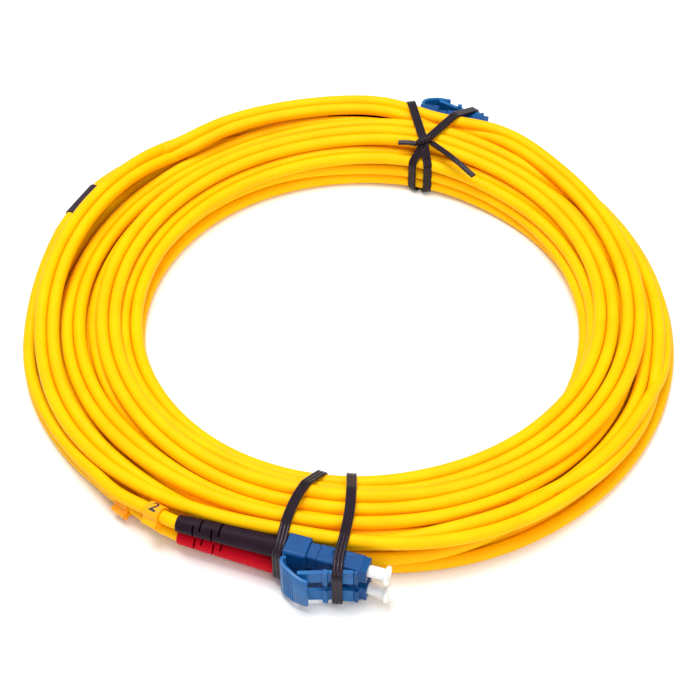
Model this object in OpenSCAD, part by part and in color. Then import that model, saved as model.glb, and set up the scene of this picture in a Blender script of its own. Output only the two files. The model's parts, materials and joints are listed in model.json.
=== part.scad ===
// Duplex fibre optic patch cord, coiled and tied, with a pair of latching plugs at each end.
// All lengths are in millimetres. +Z is up, and the cord lies on the plane z = 0.
// The coil runs round its own centre, and a plug pair is tied against the coil at the front and back.

/* [Cord] */
// Outer diameter of one strand's jacket
cord_d = 3.0; // [2.8:0.1:3.05]
// Number of flat faces round a strand's tube
cord_sides = 8; // [8:1:10]

/* [Coil] */
// Radius of the circle through the middle of the bundle
coil_mid_r = 63.4; // [62.4:0.1:64.0]
// Distance between turns that lie side by side
turn_pitch = 3.05; // [3.0:0.01:3.1]
// Height from one layer of turns to the next
layer_pitch = 2.95; // [2.85:0.01:3.0]
// How deep the ties press into the underside of the bundle
tie_groove = 0.85; // [0.8:0.05:1.0]

/* [Plug] */
// Distance between the axes of the two plugs of a pair
plug_pitch = 6.25; // [6.15:0.05:6.4]
// Width and height of the square front housing
housing_w = 4.5; // [4.4:0.05:4.6]
// Length of the front housing
housing_l = 11.1; // [10.9:0.1:11.4]
// Diameter of the ceramic ferrule
ferrule_d = 1.25; // [1.2:0.01:1.3]
// Length of ferrule that stands out of the nose
ferrule_out = 3.6; // [3.2:0.1:3.7]
// Travel of the ferrule against its spring
ferrule_float = 0.8; // [0.5:0.1:0.9]
// Diameter of the spring chamber
chamber_d = 3.1; // [3.0:0.05:3.2]
// Wire diameter of the ferrule spring
spring_wire = 0.32; // [0.25:0.01:0.36]
// Number of turns of the ferrule spring
spring_turns = 4; // [3:1:5]

/* [Rear body and crimp] */
// Width and height of the square rear body
rear_w = 4.2; // [4.1:0.05:4.25]
// Length of rear body that shows between the clip and the housing
rear_show = 2.3; // [2.0:0.1:2.6]
// Diameter of the crimp post
post_d = 2.0; // [1.8:0.1:2.1]
// Length of the crimp post behind the rear body
post_l = 4.4; // [3.8:0.1:4.6]
// Wall of the crimp sleeve
crimp_wall = 0.4; // [0.3:0.05:0.45]

/* [Duplex clip and latches] */
// Length of the duplex clip
clip_l = 5.0; // [4.8:0.1:5.2]
// Wall of the clip round the rear bodies
clip_wall = 0.7; // [0.6:0.05:0.75]
// Width of the trigger across both plugs
trigger_w = 10.2; // [9.9:0.1:10.6]
// Thickness of the trigger plate
trigger_t = 0.8; // [0.7:0.05:0.85]
// Width of a latch arm
latch_w = 3.2; // [3.0:0.1:3.4]
// Thickness of a latch arm
latch_t = 0.9; // [0.8:0.05:0.95]
// Width across the locking shoulders of a latch
shoulder_w = 4.4; // [4.2:0.1:4.5]

/* [Boot] */
// Length of the boot
boot_l = 25.3; // [24.5:0.1:26]
// Diameter of the boot where it meets the clip
boot_front_d = 4.7; // [4.6:0.05:4.75]
// Diameter of the boot's rear end
boot_rear_d = 3.9; // [3.85:0.05:4.0]
// Width of the flex slits
slit_w = 0.45; // [0.4:0.05:0.6]

/* [Dust cap] */
// Outer diameter of the cap's tube
cap_d = 2.7; // [2.6:0.05:2.8]
// Diameter of the cap's flange
cap_flange_d = 4.3; // [4.1:0.1:4.5]
// Thickness of the cap's flange
cap_flange_t = 0.8; // [0.7:0.1:0.9]

/* [Marker and sleeve] */
// Length of a cable marker along the strand
marker_l = 3.8; // [3.4:0.1:4.2]
// Wall of a cable marker
marker_wall = 0.6; // [0.5:0.05:0.65]
// Length of the split sleeve
sleeve_l = 11.5; // [11:0.1:12]
// Wall of the split sleeve
sleeve_wall = 0.4; // [0.35:0.05:0.45]

/* [Ties] */
// Width of a twist tie
tie_w = 2.1; // [1.9:0.1:2.2]
// Thickness of the tie's ridges
tie_t = 0.7; // [0.65:0.01:0.75]

/* [Hidden] */
$fn = 32;
fit = 0.02;           // running fit of the ferrule in its cap
gap = 0.05;           // small clearance between pieces that touch
cord_r = cord_d / 2;

// ---- The coil's bundle ----
layers = [7, 6, 7, 4];          // turns in each layer, from the floor up
coil_x = 3.7;                   // the coil's centre, which puts the middle of the whole at the origin
coil_y = 2.3;

// ---- Lengths along a plug, from the rear of the clip ----
gap_x = clip_l + rear_show;               // seam between rear body and housing
housing_x = gap_x + 0.1;
nose_x = housing_x + housing_l;
tip_x = nose_x + ferrule_out;
cavity_l = 2.9;                           // depth of the nose's cavity
web_t = 1.1;                              // wall that the ferrule's flange rests on
web_x = nose_x - cavity_l - web_t;
spigot_l = 1.7;                           // rear body's spigot in the housing
spigot_x = gap_x + spigot_l;
flange_l = 1.5;                           // ferrule flange
flange_x = web_x - gap - flange_l;
flange_d = chamber_d - 0.3;
stem_d = 1.9;                             // hollow stem inside the spring
nose_bore_d = cap_d + 0.4;
window_w = 1.0;                           // small square window in the housing's side
face_y = housing_w / 2;                   // the face that the latch lies over

// ---- Height of the pair over the floor ----
clip_in = rear_w + 2 * gap;
clip_h = plug_pitch + clip_in + 2 * clip_wall;
pair_z = clip_h / 2 + 0.75;

// ---- The two ends: place beside the coil, heading of the plugs, side that faces out ----
NEAR = 0;
FAR = 1;
end_out = [10.6, 9.2];                    // plugs' axis beyond the middle of the bundle, square to the plugs
end_along = [7.4, 0.8];                   // rear of the clip past the point nearest the coil's centre
end_yaw = [-17.9, -12];
end_side = [1, -1];
pocket = [3.4, 3.4];                      // from the plugs' axis to the coil's pressed flat
boot_close = 2.2;                         // the boots of a pair lean towards each other, in degrees
BLACK = 1;                                // upper plug
RED = -1;                                 // lower plug

// ---- Latch and trigger: centre lines in the plane of motion, [x, y] ----
latch_pivot = [nose_x - 2.9, face_y + gap + latch_t / 2];
latch_line = [latch_pivot, latch_pivot + [-2.0, 0.42], latch_pivot + [-4.6, 1.15],
    latch_pivot + [-7.6, 2.2], latch_pivot + [-9.6, 2.95], latch_pivot + [-11.1, 3.45]];
shoulder_x = nose_x - 8.8;
clip_face_y = clip_in / 2 + clip_wall;
trigger_pivot = [0.55, clip_face_y + gap + 0.5];
trigger_line = [trigger_pivot, trigger_pivot + [-0.3, 0.7], trigger_pivot + [-0.05, 1.45],
    trigger_pivot + [0.8, 2.0], trigger_pivot + [1.7, 2.55], trigger_pivot + [2.5, 3.25],
    trigger_pivot + [3.3, 3.8], trigger_pivot + [4.6, 4.1]];

// ---- Split tails and zip runs: points round the coil, [angle, beyond the bundle's middle, height] ----
near_black_route = [[232.3, 13.4, 8.2], [225.5, 13.9, 7.2], [219, 13.7, 6.1], [212.5, 14.2, 5.2],
    [206, 14.9, 4.75], [199.5, 15.8, 4.7], [193, 16.5, 4.7], [186.5, 16.7, 4.8], [180, 16.6, 5.4],
    [174, 16.4, 6.8], [168, 16.1, 8.7]];
near_red_route = [[232, 12.5, 4.1], [225.5, 12.5, 3.1], [219, 12.8, 2.3], [212.5, 13.8, 1.8],
    [206, 14.8, 1.6], [199.5, 15.8, 1.55], [193, 16.5, 1.55], [186.5, 16.7, 1.6], [180, 16.6, 2.2],
    [174, 16.4, 3.6], [168, 16.1, 5.6]];
far_black_route = [[104, 14.2, 8.2], [110.5, 14.8, 6.9], [117, 14.8, 5.7], [123.5, 14.4, 4.9],
    [130, 13.7, 4.75], [136.5, 13.1, 4.7], [143, 12.8, 4.7], [149.5, 12.7, 4.7], [156, 12.7, 4.7],
    [162.5, 12.7, 4.7], [169, 12.7, 4.8], [175.5, 12.7, 5.0]];
far_red_route = [[104, 14, 4.2], [110.5, 14.4, 3.2], [117, 14.4, 2.3], [123.5, 14.1, 1.7],
    [130, 13.6, 1.6], [136.5, 13.1, 1.55], [143, 12.8, 1.55], [149.5, 12.7, 1.55],
    [156, 12.7, 1.55], [162.5, 12.7, 1.6], [169, 12.7, 1.7], [175.5, 12.7, 1.9]];
near_zip_routes = [[[143, 15, 10.85], [136, 14.2, 10.8], [129, 12.7, 10.6], [122, 10.9, 10.2],
    [115, 9, 9.8], [108, 7.6, 9.45]],
    [[143, 15.1, 7.8], [136, 14.5, 7.75], [129, 13.8, 7.75], [122, 12.5, 7.6], [115, 10.8, 7.3],
    [108, 9.2, 6.8]]];
far_zip_routes = [[[200, 11.8, 5.0], [207, 10.6, 5.0], [214, 9.4, 5.0]],
    [[200, 11.8, 1.96], [207, 10.7, 1.94], [214, 9.5, 1.94]]];
sleeve_at = [[153, 15.6, 9.3], [189, 12.7, 3.5]];   // middle of each split sleeve
marker_run = [31.3, 41.3];                          // how far behind the clip the markers sit
marker_turn = [35, 20];                             // how far the lock hangs below level, in degrees

// ---- Ties: each pass is a flat loop, [where along the plugs it crosses them, heading outwards] ----
front_passes = [[-1.1, -111.6], [11.9, -95.9]];
rear_passes = [[-2.4, 101.5], [12, 49.3]];
pass_room = 0.35;                         // from a tie's inner wall to the bundle
boot_side = boot_front_d / 2 + 0.75;      // a tie's outer wall beyond the plugs' axis, at the boots
latch_side = latch_pivot[1] + 1.15 + latch_t / 2 + 0.55;
coil_side = clip_in / 2 + clip_wall + 0.3;
coil_top = cord_d + (len(layers) - 1) * layer_pitch;
boots_top = pair_z + plug_pitch / 2 + boot_front_d / 2;
plugs_top = pair_z + plug_pitch / 2 + housing_w / 2;
over = [0.25, 1.0];                       // how far the front and rear ties stand over the turns
under = tie_t + gap;                      // inner face of a tie below the bundle
// inner outline of a pass, from the inner foot round the plugs and back over the bundle
function tie_outline(far_side, back, top, rise) = [
    [0.6, under], [far_side - 2.4, under + 0.05], [far_side - 0.6, under + 1.2],
    [far_side, under + 2.6], [far_side, top - 1.4], [far_side - 0.4, top - 0.4],
    [far_side - 1.4, top + rise], [back, max(top, coil_top) + rise], [5.8, coil_top + rise],
    [1.2, coil_top - 2.3], [-0.2, coil_top - 4.2], [-0.25, 1.7]];

// ================= helpers =================
function polar(p) = let (r = coil_mid_r + p[1]) [r * cos(p[0]), r * sin(p[0]), p[2]];
function unit(v) = v / norm(v);

// a plug pair's heading and its outward direction, and the foot of its frame
function heading_dir(a) = [cos(a), sin(a)];
function out_dir(e) = end_side[e] * [sin(end_yaw[e]), -cos(end_yaw[e])];
function end_at(e) = (coil_mid_r + end_out[e]) * out_dir(e) + end_along[e] * heading_dir(end_yaw[e]);

// a point of a plug pair: x forward, y out of the latch side, up from the pair's middle
function pair_point(e, x, y, up) = let (p = end_at(e) + x * heading_dir(end_yaw[e]) + y * out_dir(e))
    [p[0], p[1], pair_z + up];

// how far it is along a tie's pass from the bundle's inner side to the plugs' axis
bundle_in = coil_mid_r - (max(layers) - 1) / 2 * turn_pitch - cord_r;
function pass_axis(e, p) = end_at(e) + p[0] * heading_dir(end_yaw[e]);
function pass_reach(e, p) = let (q = pass_axis(e, p), a = q * heading_dir(p[1]))
    a - sqrt(a * a - q * q + pow(bundle_in - pass_room, 2));
function pass_start(e, p) = pass_axis(e, p) - pass_reach(e, p) * heading_dir(p[1]);
// where two passes cross over the bundle
function flat_cross(a, b) = a[0] * b[1] - a[1] * b[0];
function crossing(e, p, q) = let (d = heading_dir(p[1]), f = heading_dir(q[1]),
    a = flat_cross(pass_start(e, q) - pass_start(e, p), f) / flat_cross(d, f)) pass_start(e, p) + a * d;

// a point on a boot's axis, d behind the clip
function boot_point(e, c, d) = pair_point(e, -d * cos(boot_close), 0,
    c * (plug_pitch / 2 - d * sin(boot_close)));

// a sleeve's heading follows the coil; its strands lie one above the other
function sleeve_heading(e) = sleeve_at[e][0] + 90;
function sleeve_point(e, c, along) = let (m = polar(sleeve_at[e]), h = sleeve_heading(e))
    m + [along * cos(h), along * sin(h), c * strand_rise];

strand_rise = cord_r + fit;                         // strands lie one above the other in a sleeve
strand_depth = 3;                                   // how far a strand runs into a boot or sleeve
// where a strand comes out of its boot, and its straight way from there to the marker's far end
function boot_exit(e, c) = boot_point(e, c, boot_l + 1);
function exit_dir(e, c, route) = unit(polar(route[1]) - boot_exit(e, c));
function marker_back(c) = marker_run[c == BLACK ? 0 : 1] - boot_l - 1;
function marker_end(c) = marker_back(c) + marker_l / 2 + 0.5;
function tail_points(e, c, route, dir) = concat(
    [boot_point(e, c, boot_l - strand_depth), boot_exit(e, c),
     boot_exit(e, c) + marker_end(c) * exit_dir(e, c, route)],
    [for (p = route) if (norm(polar(p) - boot_exit(e, c)) > marker_end(c) + 3) polar(p)],
    [sleeve_point(e, c, dir * (sleeve_l / 2 + 1)), sleeve_point(e, c, dir * (sleeve_l / 2 - strand_depth))]);
function zip_points(e, c, route, dir) = concat(
    [sleeve_point(e, c, dir * (sleeve_l / 2 - strand_depth)), sleeve_point(e, c, dir * (sleeve_l / 2 + 1))],
    [for (p = route) polar(p)]);

// a ring of points square to the path at point i
function path_dir(p, i) = unit(p[min(i + 1, len(p) - 1)] - p[max(i - 1, 0)]);
function path_ring(p, i, r, n) = let (d = path_dir(p, i), s = unit(cross(d, [0, 0, 1])), u = cross(s, d))
    [for (k = [0 : n - 1]) p[i] + r * (s * cos(360 * k / n) + u * sin(360 * k / n))];

// a round tube along a list of points, closed at both ends
module tube_along(p, r, n) {
    rings = len(p);
    points = [for (i = [0 : rings - 1]) each path_ring(p, i, r, n)];
    sides = [for (i = [0 : rings - 2], k = [0 : n - 1])
        [i * n + k, (i + 1) * n + k, (i + 1) * n + (k + 1) % n, i * n + (k + 1) % n]];
    first = [for (k = [0 : n - 1]) k];
    last = [for (k = [n - 1 : -1 : 0]) (rings - 1) * n + k];
    polyhedron(points, concat([first], sides, [last]), convexity = 10);
}

// points of a flat line moved sideways by w
function line_dir(p, i) = unit(p[min(i + 1, len(p) - 1)] - p[max(i - 1, 0)]);
function beside(p, w) = [for (i = [0 : len(p) - 1]) let (d = line_dir(p, i)) p[i] + w * [-d[1], d[0]]];
module ribbon(p, t) {
    polygon(concat(beside(p, t / 2), [for (i = [len(p) - 1 : -1 : 0]) beside(p, -t / 2)[i]]));
}

// corners of a closed outline moved out by w
function loop_dir(p, i) = unit(p[(i + 1) % len(p)] - p[i]);
function grown(p, w) = [for (i = [0 : len(p) - 1])
    let (a = loop_dir(p, (i + len(p) - 1) % len(p)), b = loop_dir(p, i),
         n = unit([a[1] + b[1], -a[0] - b[0]]))
    p[i] + n * w / (n * [b[1], -b[0]])];

module box_x(x0, x1, w, h) {
    translate([x0, -w / 2, -h / 2])
        cube([x1 - x0, w, h]);
}

module rod_x(x0, x1, d) {
    translate([x0, 0, 0])
        rotate([0, 90, 0])
            cylinder(d = d, h = x1 - x0);
}

module around_coil() {
    translate([coil_x, coil_y, 0])
        children();
}

// a plug pair's own frame: x along the plugs to the nose, y out of the latch side
module at_end(e) {
    around_coil()
        translate([end_at(e)[0], end_at(e)[1], pair_z])
            rotate([0, 0, end_yaw[e]])
                rotate([e == NEAR ? 180 : 0, 0, 0])
                    children();
}

// one plug's frame; the near pair is turned over, so its upper plug lies on the -z side
function plug_up(e, c) = e == NEAR ? -c : c;
module at_plug(e, c) {
    at_end(e)
        translate([0, 0, plug_up(e, c) * plug_pitch / 2])
            children();
}

// ================= plug =================
// square shell with a spring chamber, a web for the ferrule and a round nose cavity
module plug_housing() {
    edge = 0.3;
    color("#1C5FA0")
        difference() {
            union() {
                translate([housing_x, 0, 0])
                    rotate([90, 0, 90])
                        linear_extrude(housing_l - 1.3)
                            polygon(cut_square(housing_w, edge));
                translate([nose_x - 1.3, 0, 0])
                    rotate([90, 0, 90])
                        linear_extrude(1.3)
                            polygon(cut_square(housing_w - 0.3, edge));
                // root block that the latch grows from
                translate([latch_pivot[0] + latch_t / 2 + gap, face_y - 0.5, -1.95])
                    cube([0.95, latch_t + 0.5, 3.9]);
            }
            rod_x(housing_x - 1, spigot_x + 0.2, rear_spigot_d + 2 * fit);
            rod_x(spigot_x, web_x, chamber_d);
            rod_x(web_x - 1, nose_x, ferrule_d + 0.3);
            rod_x(web_x + web_t, nose_x + 1, nose_bore_d);
            for (side = [-1, 1])
                translate([housing_x + 2.8, -window_w / 2 - 0.6, side * (housing_w / 2) - 0.25])
                    cube([window_w, window_w, 0.5]);
        }
}
function cut_square(w, c) = let (h = w / 2) [[h - c, -h], [h, -h + c], [h, h - c], [h - c, h],
    [-h + c, h], [-h, h - c], [-h, -h + c], [-h + c, -h]];

// sprung arm over the housing, with a wide head at its root and two locking shoulders
module latch() {
    color("#2A6DB0")
        union() {
            translate([0, 0, -latch_w / 2])
                linear_extrude(latch_w)
                    ribbon(latch_line, latch_t);
            translate([latch_pivot[0], latch_pivot[1], -1.95])
                cylinder(d = latch_t, h = 3.9, $fn = 24);
            translate([0, 0, -1.95])
                linear_extrude(3.9)
                    ribbon([latch_line[0], latch_line[1]], latch_t);
            translate([shoulder_x, latch_pivot[1] + 1.25, -shoulder_w / 2])
                cube([1.1, 1.1, shoulder_w]);
        }
}

// ceramic ferrule in a metal flange with a stem that guides the spring
module ferrule() {
    color("#F2F0EA")
        difference() {
            union() {
                rod_x(flange_x + 0.2, tip_x - 0.15, ferrule_d);
                translate([tip_x - 0.15, 0, 0])
                    rotate([0, 90, 0])
                        cylinder(d1 = ferrule_d, d2 = ferrule_d - 0.3, h = 0.15);
                rod_x(flange_x, flange_x + flange_l, flange_d);
                rod_x(spigot_x + ferrule_float + 0.4, flange_x + 0.1, stem_d);
            }
            rod_x(spigot_x, flange_x + 0.3, 1.0);
        }
}

// open-wound compression spring between the rear body and the ferrule's flange
spring_r = (chamber_d - spring_wire) / 2 - 0.1;
spring_x = spigot_x + gap;
spring_l = flange_x - gap - spring_x;
spring_steps = 12;                                  // points in each turn
function spring_point(i) = let (a = 360 * i / spring_steps, f = i / (spring_turns * spring_steps))
    [spring_x + spring_wire / 2 + f * (spring_l - spring_wire), spring_r * cos(a), spring_r * sin(a)];
module ferrule_spring() {
    color("#B8BCC0")
        rotate([0, 90, 0])
            tube_along([for (i = [0 : spring_turns * spring_steps])
                let (q = spring_point(i)) [-q[2], q[1], q[0]]], spring_wire / 2, 6);
}

// square body that the clip grips, with a spigot in front and the crimp post behind
rear_spigot_d = housing_w - 0.9;
module rear_body() {
    color("#184F8C")
        difference() {
            union() {
                translate([0.3, 0, 0])
                    rotate([90, 0, 90])
                        linear_extrude(gap_x - 0.3)
                            polygon(cut_square(rear_w, 0.3));
                rod_x(gap_x - 0.5, spigot_x, rear_spigot_d);
                rod_x(-post_l, 0.5, post_d);
                for (k = [0 : 5])
                    rod_x(-post_l + 0.5 + k * 0.6, -post_l + 0.7 + k * 0.6, post_d + 0.12);
                // catch that stops the clip
                translate([clip_l + 0.5, -rear_w / 2 - 0.35, -1])
                    cube([1.3, 0.6, 2]);
            }
            rod_x(-post_l - 1, spigot_x + 1, post_d - 0.8);
        }
}

// thin metal tube crimped over the strength yarn on the post
module crimp_sleeve() {
    crimp_id = post_d + 0.12 + 2 * gap;
    color("#C9CCCE")
        difference() {
            rod_x(-post_l - 0.2, -0.3, crimp_id + 2 * crimp_wall);
            rod_x(-post_l - 1, 1, crimp_id);
        }
}

// tapered sleeve with staggered slits near its rear, so that it bends
module boot(e, c) {
    bore_d = cord_d + 2 * gap;
    wide_d = post_d + 0.12 + 2 * gap + 2 * crimp_wall + 0.55;
    slit_at = [4.1, 5.3, 8.2, 9.5];                 // from the rear end
    color(c == BLACK ? "#2E2330" : "#CC1530")
        rotate([0, -boot_close * plug_up(e, c), 0])
            difference() {
                rotate([0, -90, 0])
                    rotate_extrude($fn = 48)
                        polygon([[bore_d / 2, post_l + 1.2], [wide_d / 2, post_l + 0.6],
                            [wide_d / 2, 0.25], [boot_front_d / 2 - 0.2, 0.25],
                            [boot_front_d / 2, 0.5], [boot_front_d / 2 - 0.1, 6],
                            [boot_rear_d / 2, boot_l - 0.4], [boot_rear_d / 2 - 0.2, boot_l],
                            [bore_d / 2, boot_l]]);
                for (i = [0 : 3])
                    translate([-boot_l + slit_at[i], i % 2 == 0 ? 0.7 : -boot_front_d - 0.7,
                            -boot_front_d / 2])
                        cube([slit_w, boot_front_d, boot_front_d]);
            }
}

// soft cap over the ferrule, with a flange to pull it by
module dust_cap() {
    cap_end = tip_x + 0.95;
    color("#F4F4F2")
        difference() {
            union() {
                rod_x(nose_x - cavity_l + 0.5, cap_end, cap_d);
                rod_x(cap_end - cap_flange_t, cap_end, cap_flange_d);
            }
            rod_x(nose_x - cavity_l, tip_x + 0.2, ferrule_d + 2 * fit);
            rod_x(cap_end - 0.2, cap_end + 1, cap_d - 0.7);
        }
}

// ================= pair =================
// block with two square holes that snaps over both rear bodies
module duplex_clip() {
    w = clip_in + 2 * clip_wall;
    color("#1C5FA0")
        difference() {
            rotate([90, 0, 90])
                linear_extrude(clip_l)
                    polygon([[w / 2 - 0.4, -clip_h / 2], [w / 2, -clip_h / 2 + 0.4],
                        [w / 2, clip_h / 2 - 0.4], [w / 2 - 0.4, clip_h / 2],
                        [-w / 2 + 0.5, clip_h / 2], [-w / 2, clip_h / 2 - 0.5],
                        [-w / 2, -clip_h / 2 + 0.5], [-w / 2 + 0.5, -clip_h / 2]]);
            for (side = [-1, 1])
                translate([0, 0, side * plug_pitch / 2])
                    box_x(-1, clip_l + 1, clip_in, clip_in);
            // relief slot between the plugs on the coil side
            translate([-1, -w / 2 - 1, -0.4])
                cube([clip_l + 2, 1 + clip_wall, 0.8]);
        }
}

// curved and ribbed plate that presses both latches at once
module trigger() {
    face = beside(trigger_line, trigger_t / 2);     // the gripped side, which carries the ribs
    color("#2A6DB0")
        union() {
            translate([0, 0, -trigger_w / 2])
                linear_extrude(trigger_w)
                    ribbon(trigger_line, trigger_t);
            translate([trigger_pivot[0], trigger_pivot[1], -trigger_w / 2])
                cylinder(r = 0.5, h = trigger_w, $fn = 24);
            for (i = [2 : 5], at = [(face[i] + face[i + 1]) / 2, face[i]])
                translate([at[0], at[1], -trigger_w / 2])
                    cylinder(r = 0.16, h = trigger_w, $fn = 16);
        }
}

// heat-shrink sleeve where the zip cord splits into two strands
module split_sleeve(e) {
    bore_d = cord_d + 2 * gap;
    outer_d = bore_d + 2 * sleeve_wall;
    rise = strand_rise;
    m = polar(sleeve_at[e]);
    color("#2E2330")
        around_coil()
            translate(m)
                rotate([0, 0, sleeve_heading(e)])
                    difference() {
                        union() {
                            for (c = [-1, 1])
                                translate([0, 0, c * rise])
                                    rod_x(-sleeve_l / 2, sleeve_l / 2, outer_d);
                            box_x(-sleeve_l / 2, sleeve_l / 2, outer_d - 0.4, 2 * rise);
                        }
                        for (c = [-1, 1])
                            translate([0, 0, c * rise])
                                rod_x(-sleeve_l, sleeve_l, bore_d);
                        box_x(-sleeve_l, sleeve_l, cord_d + gap, 2 * rise);
                    }
}

// section of the joined strands: half a circle round each, with flat sides between them
function zip_arc(a, b, d, r) = let (u = unit(a - b), s = unit(cross(d, u)))
    [for (t = [0 : 36 : 180]) a + r * (s * cos(t) + u * sin(t))];
function zip_ring(p, q, i, r) = let (d = path_dir(p, i))
    concat(zip_arc(p[i], q[i], d, r), zip_arc(q[i], p[i], d, r));

// the two joined strands between the sleeve and the coil
module zip_run(e, routes, dir) {
    p = zip_points(e, 1, routes[0], dir);
    q = zip_points(e, -1, routes[1], dir);
    rings = len(p);
    n = len(zip_ring(p, q, 0, cord_r));
    points = [for (i = [0 : rings - 1]) each zip_ring(p, q, i, cord_r)];
    sides = [for (i = [0 : rings - 2], k = [0 : n - 1]) let (a = i * n + k, b = i * n + (k + 1) % n)
        each [[a, a + n, b + n], [a, b + n, b]]];
    first = [for (k = [0 : n - 1]) k];
    last = [for (k = [n - 1 : -1 : 0]) (rings - 1) * n + k];
    color("#F5C800")
        around_coil()
            polyhedron(points, concat([first], sides, [last]), convexity = 10);
}

module strand_tail(e, c, route, dir) {
    color("#FFD400")
        around_coil()
            tube_along(tail_points(e, c, route, dir), cord_r, cord_sides);
}

// numbered ring that snaps round a strand, with its lock on one side
module marker(e, c, route) {
    bore_r = cord_r + 2 * gap;
    out_r = bore_r + marker_wall;
    dir = exit_dir(e, c, route);
    at = boot_exit(e, c) + dir * marker_back(c);
    heading = atan2(dir[1], dir[0]);
    tilt = -asin(dir[2]);
    below = c == BLACK ? marker_turn[0] : marker_turn[1];
    turn = e == NEAR ? -below : 180 + below;
    color("#FFC000")
        around_coil()
            translate(at)
                rotate([0, tilt, heading])
                    rotate([turn, 0, 0])
                        difference() {
                            union() {
                                rod_x(-marker_l / 2, marker_l / 2, 2 * out_r);
                                translate([-marker_l / 2, bore_r, -1.2])
                                    cube([marker_l, marker_wall + 1.0, 2.4]);
                            }
                            rod_x(-marker_l, marker_l, 2 * bore_r);
                            translate([-marker_l, 0, -0.15])
                                cube([2 * marker_l, 5, 0.3]);
                        }
}

// ================= coil and ties =================
// the middle of a turn in a layer, and how far a layer reaches either way
function turn_at(i, j) = [coil_mid_r - half_layer(j) + i * turn_pitch, cord_r + j * layer_pitch];
function half_layer(j) = (layers[j] - 1) / 2 * turn_pitch;

// twelve-sided strands, with webs that join them beside and above each other
module bundle_section() {
    web = 1.2;
    for (j = [0 : len(layers) - 1]) {
        for (i = [0 : layers[j] - 1])
            translate(turn_at(i, j))
                circle(d = cord_d, $fn = 12);
        translate(turn_at(0, j) - [0, web / 2])
            square([2 * half_layer(j), web]);
    }
    for (j = [0 : len(layers) - 2]) {
        half = min(half_layer(j), half_layer(j + 1));
        low = j == 0 ? 0 : cord_r + j * layer_pitch;
        translate([coil_mid_r - half, low])
            square([2 * half, cord_r + (j + 1) * layer_pitch - low]);
    }
}

// all turns of the bundle as one solid, flat below, pressed flat by each plug pair
module coil() {
    widest = max(layers) * turn_pitch;
    color("#FFD400")
        around_coil()
            difference() {
                rotate_extrude($fn = 180)
                    bundle_section();
                for (e = [NEAR, FAR])
                    translate([end_at(e)[0], end_at(e)[1], -1])
                        rotate([0, 0, end_yaw[e]])
                            translate([-40, e == NEAR ? -20 + pocket[e] : -pocket[e], 0])
                                cube([80, 20, 20]);
                for (e = [NEAR, FAR], p = e == NEAR ? front_passes : rear_passes)
                    translate(concat(pass_start(e, p), 0))
                        rotate([0, 0, p[1]])
                            translate([-3, -tie_w / 2 - gap, -1])
                                cube([widest + 6, tie_w + 2 * gap, 1 + tie_groove]);
            }
}

// one flat loop of a tie: a thin web with three raised ridges over its wires
module tie_loop(e, pass, side, top) {
    reach = pass_reach(e, pass);
    slant = heading_dir(pass[1]) * out_dir(e);
    inner = tie_outline(reach + side / slant, reach - coil_side / slant, top, over[e]);
    translate(concat(pass_start(e, pass), 0))
        rotate([0, 0, pass[1]])
            rotate([90, 0, 0]) {
                translate([0, 0, -tie_w / 2])
                    linear_extrude(tie_w)
                        difference() {
                            polygon(grown(inner, tie_t * 0.7));
                            polygon(inner);
                        }
                for (k = [-1, 0, 1])
                    translate([0, 0, k * (tie_w / 2 - 0.25) - 0.25])
                        linear_extrude(0.5)
                            difference() {
                                polygon(grown(inner, tie_t));
                                polygon(inner);
                            }
            }
}

// strip of tie lying along a line in its own plane
module tie_strip(at, heading, line) {
    translate(at)
        rotate([0, 0, heading])
            rotate([90, 0, 0])
                translate([0, 0, -tie_w / 2 + 0.2])
                    linear_extrude(tie_w - 0.4)
                        ribbon(line, tie_t);
}

// the two ends wound round each other: short flat pieces, each turned on from the last
module tie_knot(at, heading) {
    turns = 3;
    step = 1.3;
    translate(at)
        rotate([0, 0, heading])
            for (k = [0 : turns - 1])
                translate([(k - (turns - 1) / 2) * step, 0, 0])
                    rotate([k * 60, 0, 0])
                        cube([step + 0.2, 2 * tie_t + 0.3, tie_w - 0.2], center = true);
}

// the two free ends that stick out of a knot
module tie_ends(at, headings, lengths, lift) {
    for (i = [0, 1])
        tie_strip(at, headings[i], [[0, 0], [lengths[i] * 0.4, lift], [lengths[i], 0]]);
}

module front_tie() {
    knot_z = coil_top / 2;
    a = pass_start(NEAR, front_passes[0]);
    b = pass_start(NEAR, front_passes[1]);
    span = norm(b - a);
    heading = atan2(b[1] - a[1], b[0] - a[0]);
    knot = (a + b) / 2 + [0, 1.6];
    color("#3A2C3C")
        around_coil() {
            tie_loop(NEAR, front_passes[0], boot_side, boots_top);
            tie_loop(NEAR, front_passes[1], latch_side, plugs_top);
            // the ends twist together inside the coil
            tie_knot([knot[0], knot[1], knot_z], heading);
            translate(concat(a + [0, 0.7], knot_z))
                rotate([0, 0, heading])
                    translate([0, 0, -tie_w / 2 + 0.2])
                        linear_extrude(tie_w - 0.4)
                            ribbon([[0, 0], [span / 2, 0.9], [span, 0]], tie_t);
            translate([knot[0], knot[1], knot_z])
                for (side = [-1, 1])
                    rotate([0, 0, heading + 90 - side * 25])
                        translate([0, 0, -tie_w / 2 + 0.2])
                            linear_extrude(tie_w - 0.4)
                                ribbon([[0, 0], [2.5, side * 0.6], [6, side * 1.2]], tie_t);
        }
}

module rear_tie() {
    at = crossing(FAR, rear_passes[0], rear_passes[1]);
    knot = [at[0], at[1], coil_top + over[FAR] + 1.2];
    color("#3A2C3C")
        around_coil() {
            tie_loop(FAR, rear_passes[0], boot_side, boots_top);
            tie_loop(FAR, rear_passes[1], latch_side, plugs_top);
            tie_knot(knot, 20);
            tie_ends(knot, [172, -38], [6.2, 14.5], 0.6);
        }
}

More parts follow.
